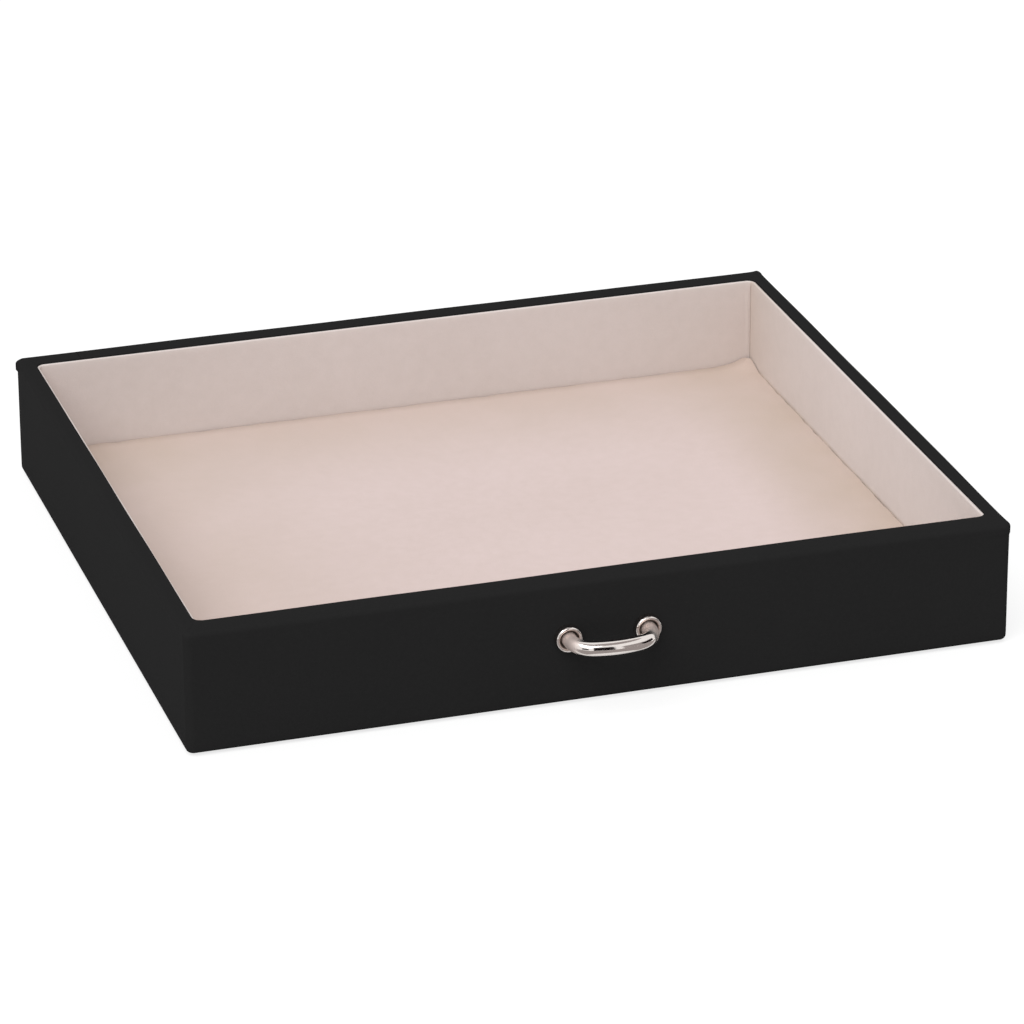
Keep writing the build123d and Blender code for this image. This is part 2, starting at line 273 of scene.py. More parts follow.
# The brads are bright drawn wire, cut to a point. Driven in from outside, under the covering, they hold
# the rabbeted corners and the bottom.
wire_steel, shader, place = new_finish("brad_steel", Metallic=1.0)
draw_lines = noise(stretch(place, 0.05, 0.05, 1.0), 0.0002)
feed(
    shader,
    Base_Color=draw_lines.mix((0.33, 0.33, 0.34), (0.52, 0.52, 0.53)),
    Roughness=draw_lines * 0.2 + 0.28,
    Normal=bump(draw_lines, 0.00001),
)
dress(["corner_brads", "bottom_brads"], wire_steel)

# The covering is one strip of matt black leatherette, glued round the outside, over the rim, down the
# inside and in under the bottom. Its ends meet in a butt seam behind. It is folded at the corners of
# the rim, where the folds stand a little proud, each in its own way.
wrap_low, wrap_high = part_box("outer_wrap")
# A reach is how far the four walls stand from the origin, in the order front, right, back, left.
outer_reach = np.array([-wrap_low.y, wrap_high.x, wrap_high.y, -wrap_low.x])
opening_reach = np.array([
    -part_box("front_lining_card")[0].y,
    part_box("right_lining_card")[1].x,
    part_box("back_lining_card")[1].y,
    -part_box("left_lining_card")[0].x,
])
leather = 0.0006
turn_in = 0.012
turn_under = 0.012
corner_round = 0.0025
opening_round = 0.003
rim_outer_round = 0.0018
rim_inner_round = 0.0005
foot_round = 0.0015
seam_from_corner = 0.020
seam_gap = 0.00015
corner_band = 0.006
corner_ease = 0.018
rim_band = 0.007
crease_angle = radians(50)
ripple_height = 0.00004
ripple_fade = 0.006
mitre_depth = 0.0001
mitre_width = 0.00035
fold_reach = 0.0043
fold_fade = 0.0008
# One number for each corner: front left, front right, back right, back left.
fold_height = np.array([0.0001, 0.0003, 0.0003, 0.0006])
fold_place = np.array([0.0, -0.001, 0.0, 0.0015])
fold_width = np.array([0.002, 0.0045, 0.002, 0.0018])
fold_on_rim = np.array([0.3, 0.5, 1.0, 0.1])


def wall_stations(wall, reach, corner):
    """Stations along one wall, from the middle of its first corner to the middle of its last. They lie
    close together near the corners. Each is (wall, the place along the straight part, the angle that
    its normal is turned by). Walls count from the front, to the right, so that the outline runs
    anticlockwise seen from above."""
    first = corner - reach[(wall - 1) % 4]
    last = reach[(wall + 1) % 4] - corner
    near, far = corner_band, corner_ease
    straight = np.concatenate([
        np.linspace(first, first + near, 12, endpoint=False),
        np.linspace(first + near, first + far, 8, endpoint=False),
        np.linspace(first + far, last - far, 50, endpoint=False),
        np.linspace(last - far, last - near, 8, endpoint=False),
        np.linspace(last - near, last, 13),
    ])
    turn = np.linspace(0, pi / 4, 9)
    along = np.concatenate([np.full(8, first), straight, np.full(8, last)])
    angle = np.concatenate([-turn[:0:-1], np.zeros(len(straight)), turn[1:]])
    return np.stack([np.full(len(along), wall), along, angle])


def ring_stations(reach, corner):
    """The stations of all four walls, without the double ones at the middles of the corners."""
    return np.concatenate([wall_stations(wall, reach, corner)[:, :-1] for wall in range(4)], axis=1)


def outline(stations, reach, corner, inset, new_reach=None, new_corner=None, ease=corner_ease):
    """(points, normals) in plan of a rounded rectangle at stations laid out for reach and corner.
    The rectangle's sides stand at new_reach less inset from the origin, and its corners have a radius
    of new_corner less inset, or none. A station's place along a side shifts only near a corner, by the
    corner's own shift times how near it is. With no ease, it keeps its share of the side's length."""
    new_reach = reach if new_reach is None else new_reach
    new_corner = corner if new_corner is None else new_corner
    wall, along, angle = stations[0].astype(int), stations[1], stations[2]
    radius = max(new_corner - inset, 0.0)
    first, last = corner - reach[(wall - 1) % 4], reach[(wall + 1) % 4] - corner
    new_first = radius - (new_reach[(wall - 1) % 4] - inset)
    new_last = new_reach[(wall + 1) % 4] - inset - radius
    if ease:
        to_first = np.clip(1 - (along - first) / ease, 0, 1)
        to_last = np.clip(1 - (last - along) / ease, 0, 1)
        along = along + to_first * (new_first - first) + to_last * (new_last - last)
    else:
        along = new_first + (along - first) / (last - first) * (new_last - new_first)
    facing = (wall - 1) * pi / 2
    out = np.stack([np.cos(facing), np.sin(facing)], axis=1)
    side = np.stack([-np.sin(facing), np.cos(facing)], axis=1)
    normal = np.sin(angle)[:, None] * side + np.cos(angle)[:, None] * out
    core = along[:, None] * side + (new_reach[wall] - inset - radius)[:, None] * out
    return core + radius * normal, normal


def corner_distance(stations, reach, corner):
    """(which corner is nearest, the distance past its middle along the outline) of each station."""
    wall, along, angle = stations[0].astype(int), stations[1], stations[2]
    first, last = corner - reach[(wall - 1) % 4], reach[(wall + 1) % 4] - corner
    past_first = along - first + corner * (angle + pi / 4)
    to_last = last - along + corner * (pi / 4 - angle)
    nearest = np.where(past_first < to_last, wall, (wall + 1) % 4)
    return nearest, np.where(past_first < to_last, past_first, -to_last)


def ease_in(value, low, high):
    """0 below low, 1 above high, and a smooth step between."""
    share = np.clip((value - low) / (high - low), 0, 1)
    return share * share * (3 - 2 * share)


def shell_faces(rows, columns):
    """Quads of a thin closed shell: a front grid and a back grid, joined round their four edges."""
    i, j = np.meshgrid(np.arange(rows - 1), np.arange(columns - 1), indexing="ij")
    a = (i * columns + j).ravel()
    b, c, d = a + 1, a + 1 + columns, a + columns
    back = rows * columns
    j = np.arange(columns - 1)
    i = np.arange(rows - 1) * columns
    return np.concatenate([
        np.stack([a, b, c, d], axis=1),
        np.stack([d, c, b, a], axis=1) + back,
        np.stack([j + 1, j, j + back, j + 1 + back], axis=1),
        np.stack([j, j + 1, j + 1 + back, j + back], axis=1) + (rows - 1) * columns,
        np.stack([i, i + columns, i + columns + back, i + back], axis=1),
        np.stack([i + columns, i, i + back, i + columns + back], axis=1) + columns - 1,
    ])


def tube_faces(rings, count):
    """Quads of a tube of rings with the same number of points."""
    i, j = (a.ravel() for a in np.meshgrid(np.arange(rings - 1), np.arange(count), indexing="ij"))
    k = (j + 1) % count
    return np.stack([i * count + j, i * count + k, (i + 1) * count + k, (i + 1) * count + j], axis=1)


def add_piece(name, points, faces, finish, slot, *nodes, marks=None):
    """Make a closed mesh the piece that stands for CAD nodes, with its faces outwards. Points that
    fall on one place, as at the end of a tube that closes on a point or a line, become one. marks
    names numbers, one for each point, that the finish reads."""
    a, b, c, d = (points[faces[:, n]] for n in range(4))
    volume = np.einsum("ij,ij->i", a, np.cross(b, c) + np.cross(c, d)).sum()
    mesh = bpy.data.meshes.new(name)
    mesh.from_pydata(points.tolist(), [], (faces if volume > 0 else faces[:, ::-1]).tolist())
    for mark, values in (marks or {}).items():
        mesh.attributes.new(mark, "FLOAT", "POINT").data.foreach_set("value", values.astype(np.float32))
    grid = bmesh.new()
    grid.from_mesh(mesh)
    bmesh.ops.remove_doubles(grid, verts=grid.verts, dist=1e-6)
    grid.to_mesh(mesh)
    grid.free()
    mesh.shade_smooth()
    mesh.set_sharp_from_angle(angle=crease_angle)
    mesh.materials.append(finish)
    piece = bpy.data.objects.new(name, mesh)
    scene.collection.objects.link(piece)
    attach(piece, "root")
    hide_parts(*nodes)
    return piece


def arc(count, start, end):
    """Angles along an arc between two bearings in degrees, ends left out, in radians."""
    return np.linspace(radians(start), radians(end), count + 2)[1:-1]


rim_z = wrap_high.z
face_top = rim_z - rim_outer_round
face_bottom = wrap_low.z + foot_round
inner_top = rim_z - rim_inner_round


def wrap_rows(depth):
    """The wrap's section as rows of (share, inset, grow, z, how far its normal points out, and up).
    A row lies on the outer outline drawn in by inset at share 0, on the opening's outline let out by
    grow at share 1, and between the two over the rim. depth is how far below the surface it lies."""
    fall = max(rim_inner_round - depth, 0.0)
    inner_drop = inner_top if fall else rim_z - depth
    let_out = max(rim_inner_round, depth)
    low, high = foot_round - depth, rim_outer_round - depth
    under = [(0, inset, 0, wrap_low.z + depth, 0, -1) for inset in np.linspace(turn_under, foot_round, 8)]
    foot = [
        (0, foot_round - low * sin(a), 0, face_bottom - low * cos(a), sin(a), -cos(a))
        for a in arc(4, 0, 90)
    ]
    middle = face_top - rim_band
    low_face = [(0, depth, 0, z, 1, 0) for z in np.linspace(face_bottom, middle, 16, endpoint=False)]
    high_face = [(0, depth, 0, z, 1, 0) for z in np.linspace(middle, face_top, 13)]
    shoulder = [
        (0, rim_outer_round - high * cos(a), 0, face_top + high * sin(a), cos(a), sin(a))
        for a in arc(6, 0, 90)
    ]
    rim = [(share, rim_outer_round, let_out, rim_z - depth, 0, 1) for share in np.linspace(0, 1, 9)]
    lip = [
        (1, 0, let_out - fall * sin(a), inner_drop + fall * cos(a), -sin(a), cos(a))
        for a in arc(4, 0, 90)
    ]
    inside = [(1, 0, depth, z, -1, 0) for z in np.linspace(min(inner_top, inner_drop), rim_z - turn_in, 7)]
    return np.array(under + foot + low_face + high_face + shoulder + rim + lip + inside)


stations = ring_stations(outer_reach, corner_round)
seam_x = seam_from_corner - outer_reach[3]
behind = (stations[0] == 2) & (stations[2] == 0)
before_seam = int(np.nonzero(behind & (stations[1] < -seam_x))[0][-1])
stations = np.roll(stations, -(before_seam + 1), axis=1)
seam_start = np.array([[2.0], [-seam_x], [0.0]])
seam_end = np.array([[2.0], [-seam_x - seam_gap], [0.0]])
stations = np.concatenate([seam_start, stations, seam_end], axis=1)
corner_number, past_corner = corner_distance(stations, outer_reach, corner_round)


def wrap_surface(depth):
    """(the wrap's rows, a grid of its points at a depth below its surface, a grid of their normals). A
    row's points are its share of the way from the outer outline to the opening's, at its height."""
    rows = wrap_rows(depth)
    points, normals = [], []
    for share, inset, grow, z, out, up in rows:
        outer, normal = outline(stations, outer_reach, corner_round, inset)
        inner, normal = outline(
            stations, outer_reach, corner_round, -grow, new_reach=opening_reach, new_corner=opening_round
        )
        plan = (1 - share) * outer + share * inner
        points.append(np.column_stack([plan, np.full(len(plan), z)]))
        normals.append(np.column_stack([out * normal, np.full(len(plan), up)]))
    return rows, np.array(points), np.array(normals)


# A fold is a bell across its corner, on the top of the face and fading over the rim. A ripple is the
# sum of three long waves that cross each other. A mitre is a fine bell-shaped groove across the rim.
rows, front, normals = wrap_surface(0.0)
share, inset, grow, z, out, up = (column[:, None] for column in rows.T)
on_face = ease_in(z, rim_z - fold_reach, rim_z - fold_reach + fold_fade)
on_rim = 1 - (1 - fold_on_rim[corner_number]) * ease_in(up, 0.2, 0.9)
across_fold = (past_corner - fold_place[corner_number]) / fold_width[corner_number]
fold = fold_height[corner_number] * np.exp(-(across_fold**2)) * on_face * on_rim
fold = fold * (1 - ease_in(share, 0.2, 0.95))
x, y = front[..., 0], front[..., 1]
wave = np.sin(47 * x + 31 * y + 60 * z)
wave = wave + np.sin(83 * x - 59 * y + 1.3)
wave = wave + np.sin(29 * x + 97 * y - 110 * z + 2.1)
ripple = ripple_height * wave * ease_in(z, 0.0, ripple_fade)
mitre = -mitre_depth * np.exp(-((past_corner / mitre_width) ** 2)) * (up > 0.7) * (share > 0)
front = front + (fold * (up >= 0) * (out >= 0) + ripple + mitre)[..., None] * normals
back = wrap_surface(leather)[1]

leatherette, shader, place = new_finish("leatherette", Specular_IOR_Level=0.004)
pebbles = {"Vector": place, "Scale": 1400.0, "Smoothness": 0.6}
grain = place.node("ShaderNodeTexVoronoi", {"feature": "SMOOTH_F1"}, pebbles)
creases = noise(place, 0.0011, 4.0, 0.6)
clouds = noise(place, 0.05)
feed(
    shader,
    Base_Color=(clouds * 0.4 + creases * 0.6).mix((0.0152, 0.0152, 0.0154), (0.0216, 0.0213, 0.0214)),
    Roughness=creases.between(0.3, 0.7) * 0.08 + clouds * 0.08 + 0.66,
    Normal=bump(grain * 0.7 + creases * 0.3, 0.00003),
)
wrap = add_piece(
    "leatherette_wrap",
    np.concatenate([front.reshape(-1, 3), back.reshape(-1, 3)]),
    shell_faces(len(front), len(stations[0])),
    leatherette,
    "leatherette",
    "outer_wrap",
)

# The felt under the bottom is thin and black. It is glued on last, hides the raw edge of the
# leatherette, and is pressed thinner where it lies over it.
felt_low, felt_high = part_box("underside_felt")
felt_reach = np.array([-felt_low.y, felt_high.x, felt_high.y, -felt_low.x])
felt_round = 0.004
felt_soft_edge = 0.00012
felt_dimple = 0.00004
felt_overlap = 0.001
felt_step = turn_under + felt_overlap - (outer_reach[0] - felt_reach[0])
felt_stations = ring_stations(felt_reach, felt_round)
felt_middle = (felt_reach[0] + felt_reach[2]) / 2
felt_insets = np.concatenate([
    [0.0, 0.0002, 0.0005],
    np.linspace(0.002, felt_step - 0.0006, 3),
    np.linspace(felt_step, felt_middle, 12),
])


def felt_surface(insets, heights, dimple=0.0):
    """Rings over the felt, each drawn in from its edge to a height. The dimples are the product of two
    waves that cross each other."""
    rings = []
    for inset, height in zip(insets, heights):
        plan = outline(felt_stations, felt_reach, felt_round, inset, ease=None)[0]
        x, y = plan[:, 0], plan[:, 1]
        wave = dimple * (1 + np.sin(210 * x + 40 * y) * np.sin(190 * y - 60 * x + 1))
        rings.append(np.column_stack([plan, height + wave]))
    return np.array(rings)


felt_finish, shader, place = new_finish(
    "black_felt", Sheen_Weight=0.25, Sheen_Roughness=0.5, Specular_IOR_Level=0.1
)
strands = noise(stretch(place, 1.0, 0.45, 1.0), 0.0007, 6.0, 0.7)
tufts = noise(place, 0.006, 3.0)
matted = (strands * 0.6 + tufts * 0.4).between(0.3, 0.7)
feed(
    shader,
    Base_Color=matted.mix((0.010, 0.010, 0.011), (0.032, 0.032, 0.034)),
    Roughness=strands * 0.1 + 0.88,
    Normal=bump(strands, 0.00012),
)
over = np.where(felt_insets < felt_step, wrap_low.z, felt_high.z)
over[0] -= felt_soft_edge
under = np.where(felt_insets == 0, felt_soft_edge, 0.0)
felt_rings = np.concatenate([
    felt_surface(felt_insets[::-1], over[::-1]),
    felt_surface(felt_insets, under, dimple=felt_dimple),
])
felt = add_piece(
    "felt_underside",
    felt_rings.reshape(-1, 3),
    tube_faces(len(felt_rings), felt_stations.shape[1]),
    felt_finish,
    "felt",
    "underside_felt",
)

# Stiff card stands behind the velvet on each wall, and under the foam on the floor. It is plain grey
# board, pressed from recycled pulp.
card_finish, shader, place = new_finish("lining_card", Roughness=0.9)
pulp = noise(place, 0.0006, 5.0, 0.65)
clouds = noise(place, 0.02)
feed(
    shader,
    Base_Color=(pulp * 0.6 + clouds * 0.4).between(0.3, 0.7).mix((0.40, 0.36, 0.31), (0.58, 0.53, 0.47)),
    Normal=bump(pulp, 0.00003),
)
walls = ("front", "right", "back", "left")
dress([f"{wall}_lining_card" for wall in walls] + ["floor_card"], card_finish)

# The lining of each wall is short-pile velvet, glued over the face and the top edge of its card. It
# butts against its neighbour in an upright seam in each corner, where the two edges roll in a little.
card_low, card_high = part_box("front_lining_card")
velvet_low, velvet_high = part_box("front_lining_velvet")
lining = velvet_high.y - card_low.y
velvet_thick = velvet_high.y - card_high.y
lining_top = velvet_high.z
lining_foot = velvet_low.z
lining_round = 0.0005
lining_top_corner = 0.002
lining_corner = 0.0008
corner_tightens = 0.003
roll_height = 0.00018
roll_place = 0.0008
roll_width = 0.0005
# Painted shade in the corner seams is about this wide.
seam_shade_width = 0.0002
seam_top = 0.0014
seam_fade = 0.001
sway_height = 0.00005
sway_back = 0.00002
pad_edge_height = 0.0051
# Painted shade: a brown line along each wall's foot, just above the pad's edge, where the pad meets the
# wall.
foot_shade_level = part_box("floor_velvet")[0].z + pad_edge_height
foot_shade_fade = 0.0009
foot_shade_share = {"front": 0.5, "right": 0.75, "back": 0.25, "left": 0.5}
shade_reach = 0.03
# How much painted shade each wall has at its first corner and its last, anticlockwise seen from above.
shade_share = {"front": (0.0, 0.1), "right": (0.2, 1.0), "back": (0.15, 0.0), "left": (0.0, 0.0)}


def new_velvet(name, shadow, light):
    """Short-pile velvet, with the wire of its colour, which drifts from shadow to light in soft clouds,
    mottles and nap."""
    finish, shader, place = new_finish(
        name, Sheen_Weight=0.25, Sheen_Roughness=0.45, Specular_IOR_Level=0.15
    )
    clouds = noise(place, 0.055, 2.0)
    mottle = noise(place, 0.0045, 3.0)
    nap = noise(place, 0.0022, 4.0, 0.6)
    pile = noise(place, 0.00045, 3.0, 0.7)
    tone = clouds * 0.35 + mottle * 0.25 + nap * 0.2 + pile * 0.2
    feed(shader, Roughness=nap * 0.08 + 0.9, Normal=bump(nap * 0.5 + pile * 0.5, 0.00012))
    return finish, shader, place, tone.between(0.35, 0.65).mix(shadow, light)


def mark(place, name):
    """A wire of the numbers that a mesh holds under a name."""
    return place.node("ShaderNodeAttribute", {"attribute_name": name}, {}, "Fac")


# The wall velvet carries painted shade: it is browner towards some corners, most at the back right, along
# its foot where the pad meets it, and in its seams.
wall_velvet, shader, place, colour = new_velvet(
    "wall_velvet", (0.695, 0.622, 0.592), (0.75, 0.675, 0.65)
)
# Painted shade: the colour turns browner near some corners.
shaded = (mark(place, "corner") * 0.45).mix(colour, (0.50, 0.395, 0.31))
# Painted shade along the wall's foot, in mottled browns.
foot_shade_tone = noise(place, 0.012, 2.0).between(0.42, 0.62).mix((0.76, 0.60, 0.47), (0.50, 0.37, 0.27))
shaded = (mark(place, "foot") * 0.7).mix(shaded, foot_shade_tone)
# Painted shade: the colour darkens to brown along the corner seams.
feed(shader, Base_Color=(mark(place, "seam") * 0.55).mix(shaded, (0.27, 0.19, 0.15)))


def lining_rows(thick):
    """The velvet's section as rows of (inset from the opening, z, how far its normal points in, and up),
    up the face and over the top edge. thick is how far below the surface it lies."""
    radius = lining_round - thick if thick < lining_round else 0.0
    centre = lining_top - lining_round
    face = [(lining - thick, z, 1, 0) for z in np.linspace(lining_foot, centre, 24)]
    over = [
        (lining - lining_round + radius * cos(a), centre + radius * sin(a), cos(a), sin(a))
        for a in arc(7, 0, 180)
    ]
    end = [(lining - lining_round - radius, centre, -1, 0)]
    return np.array(face + over + end)


# Each panel is its section carried along its wall, round into a tight corner at both ends. The velvet
# rolls in beside a seam as a bell, and sways as two long waves.
for number, wall in enumerate(walls):
    spots = wall_stations(number, opening_reach, opening_round)
    first_share, last_share = shade_share[wall]
    surfaces, seam_shades, shades, feet = [], [], [], []
    for thick in (0.0, velvet_thick):
        grid = []
        for inset, z, inward, up in lining_rows(thick):
            tight = ease_in(lining_top - z, 0.0005, corner_tightens)
            corner = lining + lining_top_corner * (1 - tight) + lining_corner * tight
            plan, normal = outline(spots, opening_reach, opening_round, inset, new_corner=corner)
            steps = np.linalg.norm(np.diff(plan, axis=0), axis=1)
            run = np.concatenate([[0], np.cumsum(steps)])
            to_seam = np.minimum(run, run[-1] - run)
            below = ease_in(lining_top - z, seam_top, seam_top + seam_fade)
            if thick == 0.0:
                x, y = plan.T
                roll = roll_height * np.exp(-(((to_seam - roll_place) / roll_width) ** 2)) * below
                sway = sway_height * (np.sin(x * 71 + z * 90 + number) + np.sin(y * 83 - z * 60))
                plan = plan - (inward * (roll + sway - sway_back))[:, None] * normal
            grid.append(np.column_stack([plan, np.full(len(plan), z)]))
            # Painted shade along each corner seam, which fades out towards the top edge.
            seam_shades.append(np.exp(-((to_seam / seam_shade_width) ** 2)) * below)
            # Painted shade near each wall's corners, fading away from them.
            shade = first_share * np.exp(-run / shade_reach)
            shades.append(shade + last_share * np.exp((run - run[-1]) / shade_reach))
            # Painted shade along the wall's foot, above the pad's edge.
            foot_shade = foot_shade_share[wall] * (1 - ease_in(z, foot_shade_level, foot_shade_level + foot_shade_fade))
            feet.append(np.full(len(plan), foot_shade))
        surfaces.append(np.array(grid))
    marks = {"seam": seam_shades, "corner": shades, "foot": feet}
    panel = add_piece(
        f"{wall}_velvet_panel",
        np.concatenate([surface.reshape(-1, 3) for surface in surfaces]),
        shell_faces(len(surfaces[0]), spots.shape[1]),
        wall_velvet,
        "velvet",
        f"{wall}_lining_velvet",
        marks={name: np.concatenate(values) for name, values in marks.items()},
    )

# The floor pad: thin foam on a card, wrapped in velvet, which is turned under and glued. It fits snugly
# between the walls and crowns a little. Its edge puckers, and its back right corner rides up the walls.
pad_low, pad_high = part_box("floor_velvet")
pad_reach = np.array([-pad_low.y, pad_high.x, pad_high.y, -pad_low.x])
pad_round = 0.003
pad_edge_round = 0.0004
pad_crown = pad_high.z - pad_low.z - pad_edge_height
pad_velvet = 0.0005
pad_turn_under = 0.012
pad_stations = ring_stations(pad_reach, pad_round)
pad_middle = np.array([0.0, (pad_high.y + pad_low.y) / 2])
pad_half = np.array([pad_high.x, (pad_high.y - pad_low.y) / 2])
pad_side_top = pad_low.z + pad_edge_height
ear_lift = 0.0026
ear_reach = 0.0075
pucker_depth = 0.00022
pucker_run = 0.006
pucker_lean = 0.7
snug_depth = 0.00026
edge_band = 0.012
# Painted shade on the pad is full out to this far in from its sides.
side_shade_start = 0.003
cloth_pitch = 0.005
cloth_frames = 20
cloth_slack = 0.006


def crown_of_cloth():
    """A grid of heights from 0 to 1, from a cloth that is held all round its edge, is cut a little too
    large and is pressed up from below, as the foam presses the velvet."""
    count = np.round(2 * pad_half / cloth_pitch).astype(int) + 1
    x, y = np.meshgrid(*(np.linspace(-half, half, n) for half, n in zip(pad_half, count)), indexing="ij")
    start = 0.0001 * (np.sin(90 * x + 40 * y) + np.sin(130 * y - 60 * x))
    points = np.stack([x, y, start], axis=-1).reshape(-1, 3)
    corners = np.arange(count[0] * count[1]).reshape(count)
    quads = np.stack([corners[:-1, :-1], corners[1:, :-1], corners[1:, 1:], corners[:-1, 1:]], axis=-1)
    mesh = bpy.data.meshes.new("cloth")
    mesh.from_pydata(points.tolist(), [], quads.reshape(-1, 4).tolist())
    cloth = bpy.data.objects.new("cloth", mesh)
    scene.collection.objects.link(cloth)
    rim = np.concatenate([corners[0], corners[-1], corners[:, 0], corners[:, -1]])
    cloth.vertex_groups.new(name="held").add(np.unique(rim).tolist(), 1.0, "REPLACE")
    settings = cloth.modifiers.new("cloth", "CLOTH").settings
    settings.quality = 6
    settings.vertex_group_mass = "held"
    settings.shrink_min = -cloth_slack
    settings.use_pressure = True
    settings.uniform_pressure_force = 4.0
    settings.effector_weights.gravity = 0.0
    for step in range(1, cloth_frames + 1):
        scene.frame_set(step)
    shaped = cloth.evaluated_get(bpy.context.evaluated_depsgraph_get()).data
    heights = np.empty(3 * len(shaped.vertices), np.float32)
    shaped.vertices.foreach_get("co", heights)
    heights = heights.reshape(*count, 3)[..., 2]
    scene.frame_set(1)
    bpy.data.objects.remove(cloth)
    return np.clip(heights / np.percentile(heights, 99), 0, 1)


def sample(grid, x, y):
    """The grid's value at places from -1 to 1 along each side, evenly between its points."""
    u = (np.clip(x, -1, 1) + 1) / 2 * (grid.shape[0] - 1)
    v = (np.clip(y, -1, 1) + 1) / 2 * (grid.shape[1] - 1)
    i, j = np.minimum(u.astype(int), grid.shape[0] - 2), np.minimum(v.astype(int), grid.shape[1] - 2)
    u, v = u - i, v - j
    near = grid[i, j] * (1 - u) + grid[i + 1, j] * u
    far = grid[i, j + 1] * (1 - u) + grid[i + 1, j + 1] * u
    return near * (1 - v) + far * v


crown = crown_of_cloth()
pad_outline = outline(pad_stations, pad_reach, pad_round, pad_round, ease=None)[0]
steps = np.linalg.norm(pad_outline - np.roll(pad_outline, 1, axis=0), axis=1)
pad_turn = 2 * pi * np.cumsum(steps) / steps.sum()


def pad_surface(depth):
    """(rings over the pad at a depth below its surface, how far each point lies in from the edge). The
    rings go from the velvet's turned-under edge, out along the bottom, up the side, round the top edge
    and in over the crown to the line in the middle. The puckers are a sum of sines round the edge, the
    same all over a corner. Between them the side swells out to the wall. The crown is the cloth's
    height, and the corner that rides up falls off as a bell."""
    edge = max(pad_edge_round - depth, 0.00005)
    bottom, top = pad_low.z + depth, pad_side_top - depth
    rings = [(inset, bottom) for inset in np.linspace(pad_turn_under, depth + 0.0003, 6)]
    rings += [(depth, z) for z in np.linspace(bottom + 0.0003, top - edge, 5)]
    rings += [(depth + edge * (1 - cos(a)), top - edge * (1 - sin(a))) for a in arc(7, 0, 90)]
    inner = np.concatenate([
        np.linspace(depth + edge, edge_band, 14, endpoint=False),
        np.linspace(edge_band, pad_half[1], 40),
    ])
    rings += [(inset, top) for inset in inner]
    sines = sum(np.sin(waves * pad_turn + phase) for waves, phase in ((98, 0), (63, 2), (29, 4))) / 3
    pucker = pucker_depth * (1.6 * np.clip(sines - 0.1, 0, 1) - 0.8 * np.clip(-0.3 - sines, 0, 1))
    snug = snug_depth * (1 - ease_in(pucker, 0.0, 0.4 * pucker_depth))
    grid, insets = [], []
    for inset, z in rings:
        raised = ((z - bottom) / (top - bottom)) ** 4
        pulled = pucker * raised * exp(-inset / pucker_run)
        plan, normal = outline(pad_stations, pad_reach, pad_round, inset, ease=None)
        inward = pulled * (1 - ease_in(inset, 0.0, pad_round)) - snug * sin(pi * min(raised, 1.0))
        plan = plan - pucker_lean * inward[:, None] * normal
        x, y = ((plan - pad_middle) / pad_half).T
        to_corner = np.hypot(pad_high.x - plan[:, 0], pad_high.y - plan[:, 1])
        lift = pad_crown * sample(crown, x, y) + ear_lift * np.exp(-((to_corner / ear_reach) ** 2))
        grid.append(np.column_stack([plan, z + lift * raised - pulled]))
        insets.append(np.full(len(plan), inset))
    return np.array(grid), np.array(insets)


# The pad's velvet carries painted shade: it is browner towards its sides and its back left corner, and
# darkest along its very edge.
pad_finish, shader, place, colour = new_velvet("pad_velvet", (0.66, 0.538, 0.505), (0.71, 0.583, 0.558))
# Painted shade towards the pad's sides, broken up by soft clouds.
side_shade = mark(place, "side_shade") * (noise(place, 0.03, 2.0).between(0.2, 0.6) * 0.4 + 0.6)
side_shaded = side_shade.mix(colour, (0.56, 0.455, 0.385))
# Painted shade darkens the pad's very edge.
feed(shader, Base_Color=(mark(place, "edge") * 0.4).mix(side_shaded, (0.35, 0.26, 0.21)))
(outer, outer_insets), (inner, inner_insets) = pad_surface(0.0), pad_surface(pad_velvet)
pad_rings = np.concatenate([outer[::-1], inner])
pad_insets = np.concatenate([outer_insets[::-1], inner_insets]).ravel()
pad_x, pad_y = pad_rings[..., 0].ravel(), pad_rings[..., 1].ravel()
to_right, to_back = pad_high.x - pad_x, pad_high.y - pad_y
to_left, to_front = pad_x - pad_low.x, pad_y - pad_low.y
# How far the painted shade reaches in from each side and from the back left corner, and how strong it is.
pad_sides = (
    (to_right, 0.045, 1.0),
    (to_back, 0.07, 0.6),
    (to_left, 0.10, 0.55),
    (to_front, 0.07, 0.5),
    (np.hypot(to_left, to_back), 0.06, 0.7),
)
unshaded = [1 - most * (1 - ease_in(away, side_shade_start, reach)) for away, reach, most in pad_sides]
pad_side_shade = 1 - np.prod(unshaded, axis=0)
# Painted shade along the pad's very edge, where it meets the walls, weak along the right side.
pad_edge_shade = (1 - ease_in(pad_insets, 0.0, 0.005)) * (0.15 + 0.85 * (to_right > to_back))
pad = add_piece(
    "velvet_floor_pad",
    pad_rings.reshape(-1, 3),
    tube_faces(len(pad_rings), pad_stations.shape[1]),
    pad_finish,
    "velvet",
    "floor_velvet",
    marks={"side_shade": pad_side_shade, "edge": pad_edge_shade},
)

# The pad's foam is one thin cut sheet, glued to its card and pressed to a rounded edge by the velvet.
foam_finish, shader, place = new_finish("foam", Specular_IOR_Level=0.2)
pores = place.node("ShaderNodeTexVoronoi", {"feature": "F1"}, {"Vector": place, "Scale": 1600.0})
feed(
    shader,
    Base_Color=pores.between(0.1, 0.6).mix((0.82, 0.78, 0.68), (0.62, 0.57, 0.46)),
    Roughness=pores * 0.1 + 0.85,
    Normal=bump(pores, 0.0002),
)
foam_inset = pad_velvet + pucker_depth
foam_round = 0.0009
foam_crown = 0.0007
foam_low, foam_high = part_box("floor_foam")
foam_top = foam_high.z - foam_crown
